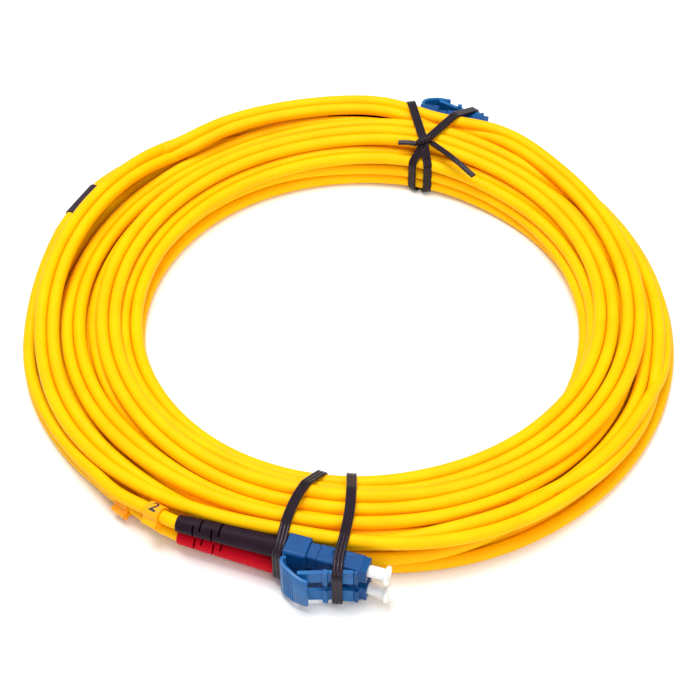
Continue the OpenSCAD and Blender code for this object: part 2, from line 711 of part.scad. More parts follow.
// ================= nodes =================
ends = ["near", "far"];
plugs = ["black", "red"];
plug_pieces = ["housing", "latch", "ferrule", "spring", "rear_body", "crimp_sleeve", "boot", "dust_cap",
    "marker", "tail"];
pair_pieces = ["duplex_clip", "trigger", "split_sleeve", "zip_run"];

routes = [[near_black_route, near_red_route], [far_black_route, far_red_route]];
zip_routes = [near_zip_routes, far_zip_routes];
tail_dir = [1, -1];                                 // end of the sleeve that the split tails leave from

coil();
front_tie();
rear_tie();
for (e = [NEAR, FAR]) {
    at_end(e) duplex_clip();
    at_end(e) trigger();
    split_sleeve(e);
    zip_run(e, zip_routes[e], -tail_dir[e]);
    for (c = [BLACK, RED]) {
        plug = str(ends[e], "_", c == BLACK ? plugs[0] : plugs[1]);
        route = routes[e][c == BLACK ? 0 : 1];
        at_plug(e, c) plug_housing();
        at_plug(e, c) latch();
        at_plug(e, c) ferrule();
        at_plug(e, c) ferrule_spring();
        at_plug(e, c) rear_body();
        at_plug(e, c) crimp_sleeve();
        at_plug(e, c) boot(e, c);
        at_plug(e, c) dust_cap();
        marker(e, c, route);
        strand_tail(e, c, route, tail_dir[e]);
    }
}
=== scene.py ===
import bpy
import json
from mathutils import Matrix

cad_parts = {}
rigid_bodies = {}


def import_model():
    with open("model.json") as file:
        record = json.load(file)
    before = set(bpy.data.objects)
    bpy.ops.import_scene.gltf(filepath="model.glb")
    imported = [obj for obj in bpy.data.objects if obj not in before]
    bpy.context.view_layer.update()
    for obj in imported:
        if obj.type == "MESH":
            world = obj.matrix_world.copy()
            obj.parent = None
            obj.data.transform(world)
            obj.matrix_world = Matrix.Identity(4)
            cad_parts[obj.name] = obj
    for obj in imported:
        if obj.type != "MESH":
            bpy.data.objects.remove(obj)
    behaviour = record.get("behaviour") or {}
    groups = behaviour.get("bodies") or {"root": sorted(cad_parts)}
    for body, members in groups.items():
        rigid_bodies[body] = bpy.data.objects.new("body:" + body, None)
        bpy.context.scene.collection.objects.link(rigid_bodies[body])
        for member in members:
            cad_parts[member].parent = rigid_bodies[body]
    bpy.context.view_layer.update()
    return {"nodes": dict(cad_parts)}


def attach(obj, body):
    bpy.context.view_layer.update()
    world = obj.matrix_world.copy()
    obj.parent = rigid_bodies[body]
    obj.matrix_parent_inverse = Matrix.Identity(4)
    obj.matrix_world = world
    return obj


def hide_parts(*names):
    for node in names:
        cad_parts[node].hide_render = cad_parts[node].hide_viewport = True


bl_info = {
    "name": "Fibre patch cord",
    "version": (1, 0, 0),
    "blender": (4, 5, 0),
    "location": "View3D > Sidebar > Patch cord",
    "description": "A coiled, tied duplex fibre patch cord with two latching plugs at each end",
    "category": "Object",
}

import json
import math

import bmesh
import bpy
import numpy as np
from mathutils import Matrix, Vector

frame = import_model()

MM = 0.001
NEAR, FAR = 0, 1
ENDS = ("near", "far")
PLUGS = ("black", "red")
UP = (1, -1)                       # the black plug lies over the red one

# ---- sizes of the frame, in millimetres ----
COIL_CENTRE = np.array((3.7, 2.3, 0.0))
BUNDLE_MID = 63.4
STRAND_D, TURN_PITCH, ROW_PITCH = 3.0, 3.05, 2.65
PLUG_PITCH = 6.25
PAIR_Z = 6.725
END_OUT = (10.6, 9.2)
END_ALONG = (7.4, 0.8)
END_YAW = (-17.9, -12.0)
END_SIDE = (1, -1)
BOOT_L, BOOT_CLOSE = 25.3, 2.2
STRAND_RISE = 1.52
SLEEVE_L = 11.5
MARKER_RUN, MARKER_L, MARKER_R = (31.3, 41.3), 3.8, 2.2
NOSE_X, TIP_X = 18.5, 22.1
CAP_END = TIP_X + 0.95
CAP_R, FERRULE_BORE_R = 1.35, 0.645
TRIGGER_W, TRIGGER_T = 10.2, 0.8
TRIGGER_PIVOT = (0.55, 3.4)
TRIGGER_LINE = [(0, 0), (-0.25, 0.8), (0.1, 1.6), (1.0, 2.3), (2.1, 2.85), (3.2, 3.45),
                (4.3, 3.85), (5.5, 4.05), (6.7, 4.15)]

# ---- routes round the coil: angle, beyond the bundle's middle, height ----
TAILS = (
    ([[232.3, 13.4, 8.2], [225.5, 13.9, 7.2], [219, 13.7, 6.1], [212.5, 14.2, 5.2],
      [206, 14.9, 4.75], [199.5, 15.8, 4.7], [193, 16.5, 4.7], [186.5, 16.7, 4.8],
      [180, 16.6, 5.4], [174, 16.4, 6.8], [168, 16.1, 8.7]],
     [[232, 12.5, 4.1], [225.5, 12.5, 3.1], [219, 12.8, 2.3], [212.5, 13.8, 1.8],
      [206, 14.8, 1.6], [199.5, 15.8, 1.55], [193, 16.5, 1.55], [186.5, 16.7, 1.6],
      [180, 16.6, 2.2], [174, 16.4, 3.6], [168, 16.1, 5.6]]),
    ([[104, 14.2, 8.2], [110.5, 14.8, 6.9], [117, 14.8, 5.7], [123.5, 14.4, 4.9],
      [130, 13.7, 4.75], [136.5, 13.1, 4.7], [143, 12.8, 4.7], [149.5, 12.7, 4.7],
      [156, 12.7, 4.7], [162.5, 12.7, 4.7], [169, 12.7, 4.8], [175.5, 12.7, 5.0]],
     [[104, 14, 4.2], [110.5, 14.4, 3.2], [117, 14.4, 2.3], [123.5, 14.1, 1.7],
      [130, 13.6, 1.6], [136.5, 13.1, 1.55], [143, 12.8, 1.55], [149.5, 12.7, 1.55],
      [156, 12.7, 1.55], [162.5, 12.7, 1.6], [169, 12.7, 1.7], [175.5, 12.7, 1.9]]),
)
ZIPS = (
    ([[143, 15, 10.85], [136, 14.2, 10.8]], [[143, 15.1, 7.8], [136, 14.5, 7.75]]),
    ([[200, 11.8, 5.0]], [[200, 11.8, 1.96]]),
)
SLEEVE_AT = ([153, 15.6, 9.3], [189, 12.7, 3.5])
TAIL_DIR = (1, -1)
# each tie's two passes: place along the plugs and heading, and how far it bows aside on top
TIE_PASSES = (((-1.1, -111.6), (11.9, -95.9)), ((-2.4, 101.5), (12.0, 49.3)))
TIE_BOWS = ((-1.4, 0.9), (0.0, 0.0))
TIE_T, TIE_NARROW = 0.7, 1.5       # thickness, and the width of the twisted ends

laid = {}                          # centre lines of the two strands, once they are laid


# ================= places =================
def direction(angle):
    a = math.radians(angle)
    return np.array((math.cos(a), math.sin(a)))


def polar(point):
    xy = (BUNDLE_MID + point[1]) * direction(point[0])
    return np.array((xy[0], xy[1], point[2]))


def out_dir(end):
    along = direction(END_YAW[end])
    return END_SIDE[end] * np.array((along[1], -along[0]))


def end_at(end):
    return (BUNDLE_MID + END_OUT[end]) * out_dir(end) + END_ALONG[end] * direction(END_YAW[end])


def boot_point(end, up, back):
    """A point on a boot's axis, that far behind the clip."""
    close = math.radians(BOOT_CLOSE)
    xy = end_at(end) - back * math.cos(close) * direction(END_YAW[end])
    return np.array((xy[0], xy[1], PAIR_Z + up * (PLUG_PITCH / 2 - back * math.sin(close))))


def tail_start(end, up):
    return boot_point(end, up, BOOT_L + 1)


def marker_back(up):
    """From the tail's start to the middle of its marker."""
    return MARKER_RUN[UP.index(up)] - BOOT_L - 1


def sleeve_point(end, up, along):
    xy = along * direction(SLEEVE_AT[end][0] + 90)
    return polar(SLEEVE_AT[end]) + np.array((xy[0], xy[1], up * STRAND_RISE))


def sleeve_mouth(end, up, side):
    """Two points through one mouth of a sleeve, from the inside out."""
    return [sleeve_point(end, up, side * (SLEEVE_L / 2 + past)) for past in (-3, 1)]


def exit_dir(end, up):
    way = polar(TAILS[end][UP.index(up)][1]) - tail_start(end, up)
    return way / np.linalg.norm(way)


def tail_points(end, up):
    """From inside the boot, straight through the marker and round to the split sleeve."""
    start = tail_start(end, up)
    straight = marker_back(up) + MARKER_L / 2 + 0.5
    points = [boot_point(end, up, BOOT_L - back) for back in (3, 0.5)]
    points += [start + along
               * exit_dir(end, up) for along in (straight - MARKER_L - 0.6, straight)]
    points += [polar(p) for p in TAILS[end][UP.index(up)]
               if np.linalg.norm(polar(p) - start) > straight + 3]
    return points + sleeve_mouth(end, up, TAIL_DIR[end])[::-1]


def zip_points(end, up):
    """From inside the split sleeve to where the strand joins the coil."""
    return sleeve_mouth(end, up, -TAIL_DIR[end]) + [polar(p) for p in ZIPS[end][UP.index(up)]]


def in_frame(place=None):
    """From millimetres round the coil's centre to metres in the shared frame."""
    base = Matrix.Scale(MM, 4) @ Matrix.Translation(COIL_CENTRE.tolist())
    return base if place is None else base @ place


def pair_place(end):
    """A plug pair's own frame: x to the nose, y out of the latch side."""
    at = end_at(end)
    yaw = Matrix.Rotation(math.radians(END_YAW[end]), 4, "Z")
    turn = Matrix.Rotation(math.radians(180), 4, "X") if end == NEAR else Matrix.Identity(4)
    return in_frame(Matrix.Translation((at[0], at[1], PAIR_Z)) @ yaw @ turn)


def plug_side(end, up):
    return -up if end == NEAR else up


def plug_place(end, up):
    return pair_place(end) @ Matrix.Translation((0, 0, plug_side(end, up) * PLUG_PITCH / 2))


# ================= making and finishing =================
def linear(code):
    """An sRGB hex colour as linear RGBA."""
    parts = [int(code[i:i + 2], 16) / 255 for i in (1, 3, 5)]
    parts = [c / 12.92 if c <= 0.04045 else ((c + 0.055) / 1.055) ** 2.4 for c in parts]
    return (*parts, 1.0)


def set_all(thing, **values):
    for name, value in values.items():
        setattr(thing, name, value)
    return thing


def add_node(tree, kind, values=None, links=None):
    """Adds one node, sets its sockets or settings by name, and links sockets to it."""
    node = tree.nodes.new(kind)
    for name, value in (values or {}).items():
        if node.inputs.get(name) is not None:
            node.inputs[name].default_value = value
        else:
            setattr(node, name, value)
    for name, source in (links or {}).items():
        tree.links.new(source, node.inputs[name])
    return node


def plastic(name, colours, blotch_mm, roughness, grain_mm, grain_depth_mm, **shader):
    """A plastic whose tint drifts between two colours, with a fine grain in its surface."""
    material = bpy.data.materials.new(name)
    material.use_nodes = True
    tree = material.node_tree
    surface = tree.nodes["Principled BSDF"]
    place = add_node(tree, "ShaderNodeTexCoord").outputs["Object"]
    blotch = add_node(tree, "ShaderNodeTexNoise", {"Scale": 1 / (blotch_mm * MM), "Detail": 3.0},
                      {"Vector": place})
    tint = add_node(tree, "ShaderNodeValToRGB", {}, {"Fac": blotch.outputs["Fac"]})
    for stop, at, colour in zip(tint.color_ramp.elements, (0.35, 0.65), colours):
        set_all(stop, position=at, color=linear(colour))
    tree.links.new(tint.outputs["Color"], surface.inputs["Base Color"])
    grain = add_node(tree, "ShaderNodeTexNoise", {"Scale": 1 / (grain_mm * MM), "Detail": 2.0},
                     {"Vector": place})
    worn = add_node(tree, "ShaderNodeMapRange",
                    {"To Min": roughness - 0.05, "To Max": roughness + 0.07},
                    {"Value": grain.outputs["Fac"]})
    tree.links.new(worn.outputs["Result"], surface.inputs["Roughness"])
    bump = add_node(tree, "ShaderNodeBump", {"Distance": grain_depth_mm * MM, "Strength": 0.6},
                    {"Height": grain.outputs["Fac"]})
    tree.links.new(bump.outputs["Normal"], surface.inputs["Normal"])
    for name, value in shader.items():
        surface.inputs[name.replace("_", " ")].default_value = value
    return material


def new_piece(name, bm, place, material, body, smooth_deg=35):
    """Puts a finished bmesh in place, in metres, and makes it ride on its body."""
    bmesh.ops.transform(bm, matrix=place, verts=bm.verts)
    bmesh.ops.recalc_face_normals(bm, faces=bm.faces)
    mesh = bpy.data.meshes.new(name)
    bm.to_mesh(mesh)
    bm.free()
    for face in mesh.polygons:
        face.use_smooth = True
    mesh.set_sharp_from_angle(angle=math.radians(smooth_deg))
    mesh.materials.append(material)
    piece = bpy.data.objects.new(name, mesh)
    bpy.context.scene.collection.objects.link(piece)
    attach(piece, body)
    return piece


def faired(node, name, material, body, edge_mm=0.12, smooth_deg=35):
    """A copy of a plain solid with its flat triangles joined and its sharp edges rounded."""
    bm = bmesh.new()
    bm.from_mesh(frame["nodes"][node].data)
    bmesh.ops.remove_doubles(bm, verts=bm.verts, dist=1e-6)
    bmesh.ops.dissolve_limit(bm, angle_limit=math.radians(1), verts=bm.verts, edges=bm.edges)
    piece = new_piece(name, bm, Matrix.Identity(4), material, body, smooth_deg)
    set_all(piece.modifiers.new("rounded edges", "BEVEL"), width=edge_mm * MM, segments=2,
            limit_method="ANGLE", angle_limit=math.radians(40), harden_normals=True)
    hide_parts(node)
    return piece


def evaluated(thing):
    """The mesh that an object ends up with."""
    bpy.context.view_layer.update()
    depsgraph = bpy.context.evaluated_depsgraph_get()
    return bpy.data.meshes.new_from_object(thing.evaluated_get(depsgraph))


def cut_away(piece, cutters, place):
    """Cuts a bmesh of blocks out of a piece for good."""
    bmesh.ops.transform(cutters, matrix=place, verts=cutters.verts)
    bmesh.ops.recalc_face_normals(cutters, faces=cutters.faces)
    mesh = bpy.data.meshes.new("blocks")
    cutters.to_mesh(mesh)
    cutters.free()
    blocks = bpy.data.objects.new("blocks", mesh)
    bpy.context.scene.collection.objects.link(blocks)
    cut = set_all(piece.modifiers.new("slits", "BOOLEAN"), operation="DIFFERENCE",
                  solver="EXACT", object=blocks)
    done = evaluated(piece)
    done.name = piece.data.name + "_cut"
    piece.modifiers.remove(cut)
    piece.data = done
    bpy.data.objects.remove(blocks)
    done.set_sharp_from_angle(angle=math.radians(30))


def spun(bm, profile, steps):
    """Spins a closed line of (along, radius) points right round the x axis."""
    verts = [bm.verts.new((x, r, 0)) for x, r in profile]
    edges = [bm.edges.new((a, b)) for a, b in zip(verts, verts[1:] + verts[:1])]
    bmesh.ops.spin(bm, geom=verts + edges, cent=(0, 0, 0), axis=(1, 0, 0), angle=math.tau,
                   steps=steps, use_merge=True)


def swept(bm, outline, frames, closed):
    """Pulls a flat outline along a row of frames."""
    verts = [bm.verts.new(frames[0] @ Vector((0, w, t))) for w, t in outline]
    edges = first = [bm.edges.new((a, b)) for a, b in zip(verts, verts[1:] + verts[:1])]
    for before, here in zip(frames, frames[1:]):
        grown = bmesh.ops.extrude_edge_only(bm, edges=edges)["geom"]
        moved = [g for g in grown if isinstance(g, bmesh.types.BMVert)]
        bmesh.ops.transform(bm, matrix=here @ before.inverted(), verts=moved)
        new = set(moved)
        edges = [g for g in grown if isinstance(g, bmesh.types.BMEdge) and new.issuperset(g.verts)]
    if closed:
        bmesh.ops.bridge_loops(bm, edges=first + edges)
    else:
        bmesh.ops.edgeloop_fill(bm, edges=first)
        bmesh.ops.edgeloop_fill(bm, edges=edges)


def rounded(points, per_span):
    """A smooth line through the points, which it passes through."""
    p = np.asarray(points, float)
    span = np.linalg.norm(np.diff(p, axis=0), axis=1)[:, None] + 1e-9
    slope = np.diff(p, axis=0) / span
    inside = (slope[:-1] * span[1:] + slope[1:] * span[:-1]) / (span[1:] + span[:-1])
    slope = np.vstack([slope[:1], inside, slope[-1:]])
    out = []
    for a, b, from_a, to_b, length in zip(p, p[1:], slope, slope[1:], span):
        for t in np.arange(per_span) / per_span:
            out.append((1 + 2 * t) * (1 - t) ** 2 * a + t * t * (3 - 2 * t) * b
                       + t * (1 - t) * length * ((1 - t) * from_a - t * to_b))
    return np.array(out + [p[-1]])


# ================= the cord =================
SLICE = 4.0                        # degrees between two points of a turn
TURNS = 12
# each turn's place in the bundle, from the top outside: (across, row) of its two strands
TURN_PLACES = [((1.5, 3), (0.5, 3)), ((-0.5, 3), (-1.5, 3)), ((-2, 2), (-3, 2)), ((0, 2), (-1, 2)),
               ((2, 2), (1, 2)), ((3, 2), (2.5, 1)), ((0.5, 1), (1.5, 1)), ((-1.5, 1), (-0.5, 1)),
               ((-2.5, 1), (-3, 0)), ((-2, 0), (-1, 0)), ((0, 0), (1, 0)), ((2, 0), (3, 0))]
INNER_EDGE = [(0, 53.3), (45, 54.3), (75, 54.2), (100, 54.4), (135, 54.0), (180, 52.6),
              (225, 51.4), (270, 52.0), (315, 52.6), (360, 53.3)]
OUTER_EDGE = [(0, 76.6), (45, 77.4), (80, 75.5), (104, 75.5), (130, 76.8), (150, 77.2),
              (180, 77.3), (205, 77.0), (220, 75.4), (235, 73.8), (270, 73.8), (290, 74.6),
              (315, 75.6), (360, 76.6)]
# stretches led over the boots and the buried sleeves: where they fade in and out, and how far
# inside the outer edge and how high the black and the red strand lie there
LED = [((136, 124, 64, 40), (1.5, 13.0), (4.5, 12.8)),
       ((232 - 1800, 200 - 1800, 178 - 1800, 142 - 1800), (0.3, 8.3), (3.3, 9.2)),
       ((196 - 1800, 166 - 1800, 146 - 1800, 104 - 1800), (0.8, 13.1), (3.8, 12.9))]
CEILING = 13.2                     # of a strand's centre line
ENTERS, LEAVES = 136.0, 204.0 - 360 * TURNS    # where the zip cord joins and leaves the coil
ZIP_PITCH = 3.06                   # between the two halves of the zip cord
BESIDE_R = 69                      # of the turns beside the plugs
FAR_OUT = 99.0


def eased(t):
    t = np.clip(t, 0, 1)
    return t * t * (3 - 2 * t)


def turned(angle, centre):
    return (angle - centre + 180) % 360 - 180


def pass_start(end, tie_pass):
    """Where a tie's pass begins, inside the bundle, and how far it runs to the plugs' axis."""
    inner = BUNDLE_MID - 3 * TURN_PITCH - STRAND_D / 2
    axis = end_at(end) + tie_pass[0] * direction(END_YAW[end])
    heading = direction(tie_pass[1])
    a = axis @ heading
    reach = a - math.sqrt(a * a - axis @ axis + (inner - 0.35) ** 2)
    return axis - reach * heading, reach


def around_of(line):
    """The angle of each point round the coil, the order that sorts them, and how far out."""
    around = np.degrees(np.arctan2(line[:, 1], line[:, 0])) % 360
    return around, np.argsort(around), np.hypot(line[:, 0], line[:, 1])


def aims_of(angle, inner, outer, free, rng, loose):
    """Where each strand would lie if nothing pushed it, and how firmly it is led there."""
    aim = np.zeros((2, len(angle), 2))
    turn = np.clip((ENTERS - angle) / 360, 0, TURNS - 1.0001)
    step, part = turn.astype(int), eased((turn % 1 - 0.1) / 0.8)
    for s in (0, 1):
        places = np.array([[p[s][0], STRAND_D / 2 + p[s][1] * ROW_PITCH] for p in TURN_PLACES])
        q = places[step] * (1 - part)[:, None] + places[step + 1] * part[:, None]
        aim[s, :, 0] = (inner + outer) / 2 + q[:, 0] / 3 * ((outer - inner) / 2 - STRAND_D / 2)
        aim[s, :, 1] = q[:, 1]
        for end, held, shift in ((NEAR, angle >= ENTERS, 0), (FAR, angle <= LEAVES, 360 * TURNS)):
            way = np.array(tail_points(end, UP[s]) + zip_points(end, UP[s]))
            around, order, out = around_of(way)
            for axis, value in enumerate((out, way[:, 2])):
                aim[s, held, axis] = np.interp(angle[held] + shift, around[order], value[order])
    # the turns wander across the bundle and up and down in it
    for amount, span, axis in ((1.0, 75, 0), (0.5, 60, 1)):
        knots = rng.normal(size=int((angle[0] - angle[-1]) / span) + 3) * amount * loose
        t = (angle[0] - angle) / span
        k, f = t.astype(int), eased(t % 1)
        aim[:, :, axis] += (knots[k] * (1 - f) + knots[k + 1] * f) * free
    led = np.zeros(len(angle))
    for (begins, full, fades, ends), *places in LED:
        weight = eased((begins - angle) / (begins - full)) * eased((angle - ends) / (fades - ends))
        weight = weight * free
        for s, (inside, height) in enumerate(places):
            place = np.stack([outer - inside, np.full(len(angle), height)], -1)
            aim[s] = aim[s] * (1 - weight)[:, None] + place * weight[:, None]
        led = np.maximum(led, weight)
    return aim, led


def slices_of(angle):
    """The strand points in each slice of the coil, padded to one length."""
    slices = int(360 / SLICE)
    slice_of = np.round(angle / SLICE).astype(int) % slices
    members = [[(s, j) for s in (0, 1) for j in np.nonzero(slice_of == q)[0]]
               for q in range(slices)]
    most = max(map(len, members))
    strand, index = np.zeros((slices, most), int), np.zeros((slices, most), int)
    real = np.zeros((slices, most), bool)
    for q, m in enumerate(members):
        for i, (s, j) in enumerate(m):
            strand[q, i], index[q, i], real[q, i] = s, j, True
    return strand, index, real


def kept_off(angle):
    """What keeps the turns off the plugs: a limit outwards, and discs in each slice."""
    limit = np.full(len(angle), FAR_OUT)
    slices = int(360 / SLICE)
    discs = np.full((slices, 8, 3), [900.0, 900.0, 0.0])
    filled = np.zeros(slices, int)
    at_slice = np.arange(slices) * SLICE
    for end in (NEAR, FAR):
        along, out, place = direction(END_YAW[end]), out_dir(end), end_at(end)
        off = turned(angle, math.degrees(math.atan2(out[1], out[0])))
        turning = np.radians(angle)
        ahead = np.cos(turning) * along[0] + np.sin(turning) * along[1]
        ahead = BESIDE_R * ahead - place @ along
        # the clip, then the slimmer housings ahead of it
        for low, high, room in ((-1, 6.0, 4.45), (6.0, 25, 3.85)):
            limit = np.where((abs(off) < 40) & (ahead > low) & (ahead < high),
                             (place @ out - room) / np.cos(np.radians(off)), limit)
        for up in UP:
            back = marker_back(up)
            boot = [boot_point(end, up, t) for t in np.linspace(0, 27, 60)]
            marker = [tail_start(end, up) + t * exit_dir(end, up)
                      for t in np.linspace(back - 4, back + 4, 20)]
            sleeve = [sleeve_point(end, up, t)
                      for t in np.linspace(-SLEEVE_L / 2, SLEEVE_L / 2, 20)]
            for line, first, last in ((boot, 3.9, 3.5), (marker, 3.9, 3.9), (sleeve, 3.4, 3.4)):
                line, room = np.array(line), np.linspace(first, last, len(line))
                around, order, far_out = around_of(line)
                for q in np.nonzero((at_slice >= around.min()) & (at_slice <= around.max()))[0]:
                    discs[q, filled[q]] = [np.interp(at_slice[q], around[order], value[order])
                                           for value in (far_out, line[:, 2], room)]
                    filled[q] += 1
    return limit, discs


def tied_down(angle):
    """How tight the ties hold the bundle, and the floor that they lift it to."""
    tied, floor = np.zeros(len(angle)), np.full(len(angle), STRAND_D / 2 + 0.02)
    for end in (NEAR, FAR):
        for tie_pass in TIE_PASSES[end]:
            middle = pass_start(end, tie_pass)[0] + 10 * direction(tie_pass[1])
            off = turned(angle, math.degrees(math.atan2(middle[1], middle[0])))
            tied = np.maximum(tied, np.exp(-(off / 16) ** 2))
            floor = np.maximum(floor, STRAND_D / 2 + 0.8 * np.exp(-(off / 13) ** 2))
    return tied, floor


def bend_of(lie):
    """From each point to the middle of its two neighbours."""
    bend = np.zeros_like(lie)
    bend[:, 1:-1] = (lie[:, :-2] + lie[:, 2:]) / 2 - lie[:, 1:-1]
    return bend


def settle_turns(rounds, seed, loose):
    """Lays the turns of the two strands and lets them push each other apart until they rest."""
    angle = np.arange(232.0, 104.0 - 360 * TURNS - 0.1, -SLICE)
    inner = np.interp(angle % 360, *zip(*INNER_EDGE))
    outer = np.interp(angle % 360, *zip(*OUTER_EDGE))
    free = ((angle < ENTERS) & (angle > LEAVES)).astype(float)
    aim, led = aims_of(angle, inner, outer, free, np.random.default_rng(seed), loose)
    limit, discs = kept_off(angle)
    tied, floor = tied_down(angle)
    strand, index, real = slices_of(angle)
    # which points of a slice push each other, and which are the two halves of one zip cord
    zipped = (angle < ENTERS + 4) & (angle > LEAVES - 4)
    other = real[:, :, None] & real[:, None, :] & ~np.eye(real.shape[1], dtype=bool)[None]
    joined = other & (index[:, :, None] == index[:, None, :]) & zipped[index][:, :, None]
    loose_here = free[index]
    both = loose_here[:, :, None] + loose_here[:, None, :]
    share = loose_here[:, :, None] / np.maximum(both, 1e-9)
    apart = (STRAND_D + 0.03 + 0.25 * (1 - tied))[index]
    apart = (apart[:, :, None] + apart[:, None, :]) / 2
    edge = np.minimum(outer - STRAND_D / 2 + 1.5 * led, limit)
    lie = aim.copy()
    for step in range(rounds):
        late, last = step > rounds * 0.65, step > rounds * 0.9
        lie += (0.3 if late else 0.4) * bend_of(lie) * free[None, :, None]
        pull = 0.0 if last else 0.004 if late else 0.02
        lie[:, :, 0] += (pull + 0.3 * led) * (aim[:, :, 0] - lie[:, :, 0]) * free
        lie[:, :, 1] += (0.5 * pull + 0.3 * led) * (aim[:, :, 1] - lie[:, :, 1]) * free
        lie[:, :, 1] -= (0.0 if last else 1.0) * (0.02 + 0.06 * tied) * free * (1 - led)
        for again in range(3):
            here = lie[strand, index]
            way = here[:, :, None] - here[:, None, :]
            far = np.sqrt((way ** 2).sum(-1)) + 1e-9
            need = np.where(last, STRAND_D + 0.02, apart)
            over = np.where(other & ~joined, np.clip(need - far, 0, None), 0)
            over = np.where(joined, ZIP_PITCH - far, over)
            push = (way / far[..., None] * (over * share)[..., None]).sum(2) * 0.55
            way = here[:, :, None] - discs[:, None, :, :2]
            far = np.sqrt((way ** 2).sum(-1)) + 1e-9
            over = np.clip(discs[:, None, :, 2] - far, 0, None)
            push += (way / far[..., None] * over[..., None]).sum(2) * loose_here[..., None] * 0.8
            lie[strand[real], index[real]] += push[real]
            for axis, low, high in ((1, floor, CEILING), (0, inner + STRAND_D / 2, edge)):
                lie[:, :, axis] = np.where(free > 0, np.clip(lie[:, :, axis], low, high),
                                           lie[:, :, axis])
    for again in range(3):
        lie += 0.5 * bend_of(lie) * free[None, :, None]
    turning = np.radians(angle)
    points = [lie[:, :, 0] * np.cos(turning), lie[:, :, 0] * np.sin(turning), lie[:, :, 1]]
    return np.stack(points, -1)[:, free > 0]


def strand_line(strand, coil):
    up = UP[strand]
    points = tail_points(NEAR, up) + zip_points(NEAR, up)
    # the last held point is eased into the first settled one
    points[-1] = points[-1] / 2 + (points[-2] + coil[strand][0]) / 4
    points += list(coil[strand]) + (tail_points(FAR, up) + zip_points(FAR, up))[::-1]
    return rounded(points, 3)


class CordSettings(bpy.types.PropertyGroup):
    diameter: bpy.props.FloatProperty(name="Jacket diameter",
                                      description="Outer diameter of one strand",
                                      default=STRAND_D * MM, unit="LENGTH")
    rounds: bpy.props.IntProperty(name="Settling rounds",
                                  description="How long the turns push each other apart",
                                  default=800)
    seed: bpy.props.IntProperty(name="Winding",
                                description="Another number winds the coil another way", default=3)
    loose: bpy.props.FloatProperty(name="Looseness",
                                   description="How far the turns wander across the bundle",
                                   default=0.75)
    light: bpy.props.StringProperty(name="Jacket colour", description="Hex colour of the jacket",
                                    default="#FFC400")
    deep: bpy.props.StringProperty(name="Jacket tint",
                                   description="Hex colour that the jacket drifts to",
                                   default="#FFBB00")


class PATCHCORD_OT_cords(bpy.types.Operator):
    """Lay the two jacketed strands from the near plugs through the coil to the far plugs"""
    bl_idname = "patchcord.cords"
    bl_label = "Strands"

    def execute(self, context):
        setting = context.scene.patchcord_cord
        coil = settle_turns(setting.rounds, setting.seed, setting.loose)
        # extruded PVC jacket: saturated and smooth, with a soft broad shine
        jacket = plastic("extruded yellow PVC jacket", (setting.deep, setting.light), 9.0, 0.5,
                         0.5, 0.012, Specular_IOR_Level=0.08)
        for strand, plug in enumerate(PLUGS):
            line = (strand_line(strand, coil) + COIL_CENTRE) * MM
            laid[plug] = line
            curve = set_all(bpy.data.curves.new("strand_" + plug, "CURVE"), dimensions="3D",
                            twist_mode="Z_UP", bevel_depth=setting.diameter / 2,
                            bevel_resolution=6, use_fill_caps=True)
            spline = curve.splines.new("POLY")
            spline.points.add(len(line) - 1)
            spline.points.foreach_set("co", np.c_[line, np.ones(len(line))].ravel())
            spline.use_smooth = True
            curve.materials.append(jacket)
            piece = bpy.data.objects.new("strand_" + plug, curve)
            context.scene.collection.objects.link(piece)
            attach(piece, "cord")
            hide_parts(f"near_{plug}_tail", f"far_{plug}_tail",
                        *(("coil",) if strand == 0 else ("near_zip_run", "far_zip_run")))
        return {"FINISHED"}


class PATCHCORD_OT_join(bpy.types.Operator):
    """Gather the pieces that hang on the far end of each strand, once every piece is made; the
    list is not used further
    """
    bl_idname = "patchcord.join"
    bl_label = "Far ends"
    made = ("boot_sleeve", "front_housing", "rear_housing", "latch_arm", "dust_cap_shell",
            "marker_ring", "marker_figure")
    plain = ("crimp_sleeve", "ferrule", "spring")

    def execute(self, context):
        objects = bpy.data.objects
        for plug in PLUGS:
            pieces = [objects[f"far_{plug}_{part}"] for part in self.made]
            pieces += [frame["nodes"][f"far_{plug}_{part}"] for part in self.plain]
            if plug == "black":
                pieces += [objects["far_clip"], objects["far_trigger_plate"]]
        return {"FINISHED"}


# ================= the stage =================
class StageSettings(bpy.types.PropertyGroup):
    lens: bpy.props.FloatProperty(name="Lens", description="Focal length of the camera",
                                  default=94.2)
    elevation: bpy.props.FloatProperty(name="Elevation",
                                       description="How far the camera looks down, in degrees",
                                       default=46.7)
    distance: bpy.props.FloatProperty(name="Distance",
                                      description="From the camera to the middle of the coil",
                                      default=0.45, unit="LENGTH")


